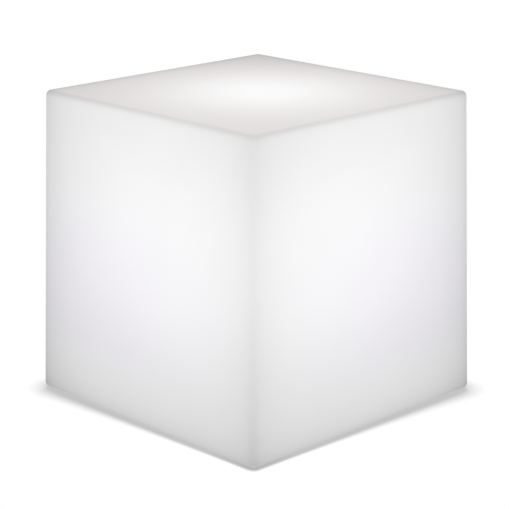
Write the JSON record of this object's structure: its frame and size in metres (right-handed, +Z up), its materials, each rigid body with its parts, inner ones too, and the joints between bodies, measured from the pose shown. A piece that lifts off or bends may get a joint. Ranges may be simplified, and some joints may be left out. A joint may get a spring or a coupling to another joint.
{
  "type": "led cube light",
  "caption": "Glowing cube-shaped outdoor light and low seat: a translucent rotomoulded shell lit by a sealed rechargeable lamp module in its base.",
  "frame": {"origin": "middle of the footprint, on the floor that the rubber pads stand on", "axes": "+Z up through the top face; +X and +Y square to the side faces, with the charging socket towards +X and the power button towards -X of the centre"},
  "size_m": [0.3996, 0.3996, 0.402],
  "materials": {
    "cell_sleeve": "PVC sleeve on a steel can",
    "clamp_steel": "zinc-plated strip",
    "nylon_white": "nylon",
    "abs_black": "moulded ABS",
    "lead_black": "silicone-insulated wire",
    "lead_red": "silicone-insulated wire",
    "nickel": "nickel strip",
    "silicone_clear": "translucent silicone",
    "abs_white": "fine-textured ABS",
    "silicone_grey": "matt silicone",
    "can_aluminium": "drawn can",
    "epoxy_black": "moulded epoxy",
    "stainless": "plain stainless steel",
    "fr4_green": "solder mask on glass-epoxy board",
    "shell_polyethylene": "satin translucent rotomoulded polyethylene, lit from inside",
    "frosted_polycarbonate": "frosted",
    "foot_rubber": "matt rubber",
    "spreader_aluminium": "milled",
    "led_epoxy": "phosphor-filled resin",
    "ferrite": "shielded ferrite",
    "led_board_white": "white solder mask on an aluminium core",
    "cable_grey": "sheathed cable",
    "clear_acrylic": "polished clear acrylic",
    "abs_button": "smooth ABS",
    "brass_plated": "nickel plated",
    "switch_red": "smooth nylon",
    "thermal_silicone": "soft thermal pad",
    "brass_insert": "turned brass"
  },
  "bodies": {
    "lamp": {"battery_cell_1": "cell_sleeve", "battery_cell_2": "cell_sleeve", "battery_clamp": "clamp_steel", "battery_connector": "nylon_white", "battery_cradle": "abs_black", "battery_lead_negative": "lead_black", "battery_lead_positive": "lead_red", "battery_link": "nickel", "battery_tabs": "nickel", "button_membrane": "silicone_clear", "button_retainer": "abs_white", "cable_connector": "nylon_white", "cap_anchor": "silicone_grey", "capacitors": "can_aluminium", "charge_socket": "epoxy_black", "clamp_screws": "stainless", "control_board": "fr4_green", "control_board_screws": "stainless", "controller_chip": "epoxy_black", "cradle_screws": "stainless", "cube_shell": "shell_polyethylene", "dome_lens": "frosted_polycarbonate", "dome_ring": "abs_white", "dome_seal": "silicone_grey", "foot_pad_1": "foot_rubber", "foot_pad_2": "foot_rubber", "foot_pad_3": "foot_rubber", "foot_pad_4": "foot_rubber", "heat_spreader": "spreader_aluminium", "indicator_led": "led_epoxy", "inductor": "ferrite", "led_board": "led_board_white", "led_board_screws": "stainless", "led_cable": "cable_grey", "led_connector": "nylon_white", "led_packages": "led_epoxy", "led_tray": "abs_white", "light_pipe": "clear_acrylic", "module_base": "abs_white", "module_gasket": "silicone_grey", "module_screws": "stainless", "module_washers": "stainless", "power_transistors": "epoxy_black", "retainer_screws": "stainless", "socket_pin": "brass_plated", "stack_screws": "stainless", "switch_body": "epoxy_black", "thermal_pad": "thermal_silicone", "threaded_inserts": "brass_insert", "tray_seal": "silicone_grey"},
    "button": {"power_button": "abs_button", "switch_plunger": "switch_red"},
    "socket_cap": {"charge_cap": "silicone_grey"}
  },
  "joints": [
    {"name": "button_press", "type": "slide", "parent": "lamp", "child": "button", "axis": [0, 0, 1], "range_m": [0, 0.0008], "stiffness_N_per_m": 2500, "springref_m": -0.0002, "deforming": ["button_membrane"]},
    {"name": "cap_hinge", "type": "hinge", "parent": "lamp", "child": "socket_cap", "pos_m": [0.018, 0.012, 0.009], "axis": [1, 0, 0], "range_deg": [0, 120]}
  ]
}
